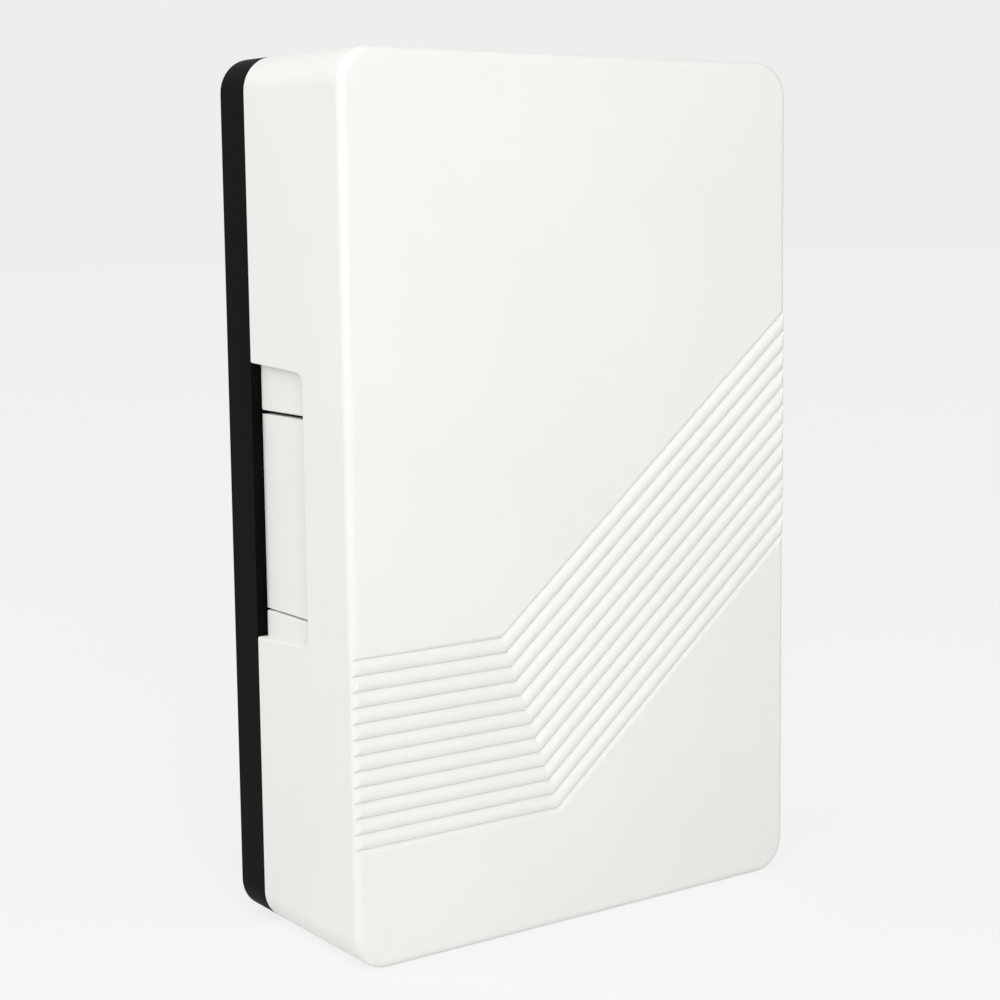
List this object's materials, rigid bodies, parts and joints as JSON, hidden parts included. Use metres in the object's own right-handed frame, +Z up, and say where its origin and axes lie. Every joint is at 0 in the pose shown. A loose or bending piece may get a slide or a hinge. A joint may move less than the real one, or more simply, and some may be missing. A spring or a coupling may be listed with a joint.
{
  "type": "doorbell chime box",
  "caption": "Wall doorbell chime: ribbed white cover that pulls off a black base after its side latches are pressed, with a coil-driven striker between tone bars inside.",
  "frame": {"origin": "centre of the base's back face, which lies on the wall", "axes": "+Z up the wall, +Y into the wall, so the front looks along -Y and +X is to the right as seen from the front"},
  "size_m": [0.0778, 0.034, 0.125],
  "materials": {
    "white_abs": "satin moulding with a fine texture",
    "black_abs": "fine texture",
    "spring_steel": "drawn wire",
    "plated_steel": "zinc plated",
    "zinc_steel": "zinc plated strip",
    "dark_steel": "blackened",
    "tone_steel": "bright plate",
    "nylon": "natural nylon",
    "enamelled_copper": "enamelled copper wire, wound in layers",
    "tape": "polyester film",
    "rubber": "matt",
    "terminal_plastic": "moulded",
    "brass": "machined",
    "lead_red": "insulated wire",
    "lead_blue": "insulated wire"
  },
  "bodies": {
    "base": {"base": "black_abs", "return_spring": "spring_steel", "bobbin": "nylon", "winding": "enamelled_copper", "coil_tape": "tape", "yoke": "zinc_steel", "yoke_screws": "plated_steel", "tone_bar_low": "tone_steel", "tone_bar_high": "tone_steel", "bar_grommets": "rubber", "bar_pins": "plated_steel", "terminal_block": "terminal_plastic", "terminal_clamps": "brass", "terminal_screws": "plated_steel", "terminal_fixing": "plated_steel", "coil_lead_a": "lead_red", "coil_lead_b": "lead_blue"},
    "striker": {"plunger": "plated_steel", "striker_pin": "nylon", "striker_cap": "nylon", "spring_clip": "dark_steel"},
    "cover": {"cover": "white_abs", "latch_spring_left": "spring_steel", "latch_spring_right": "spring_steel"},
    "latch_left": {"release_latch_left": "white_abs"},
    "latch_right": {"release_latch_right": "white_abs"}
  },
  "joints": [
    {"name": "striker_slide", "type": "slide", "parent": "base", "child": "striker", "axis": [1, 0, 0], "range_m": [-0.0015, 0.0045], "stiffness_N_per_m": 60, "deforming": ["return_spring"]},
    {"name": "cover_pull", "type": "slide", "parent": "base", "child": "cover", "axis": [0, -1, 0], "range_m": [0, 0.07]},
    {"name": "latch_left_press", "type": "hinge", "parent": "cover", "child": "latch_left", "pos_m": [-0.0358, -0.0278, -0.00155], "axis": [0, 0, -1], "range_deg": [0, 4], "stiffness_Nm_per_rad": 0.1, "deforming": ["latch_spring_left"]},
    {"name": "latch_right_press", "type": "hinge", "parent": "cover", "child": "latch_right", "pos_m": [0.0358, -0.0278, -0.00155], "axis": [0, 0, 1], "range_deg": [0, 4], "stiffness_Nm_per_rad": 0.1, "deforming": ["latch_spring_right"]}
  ]
}
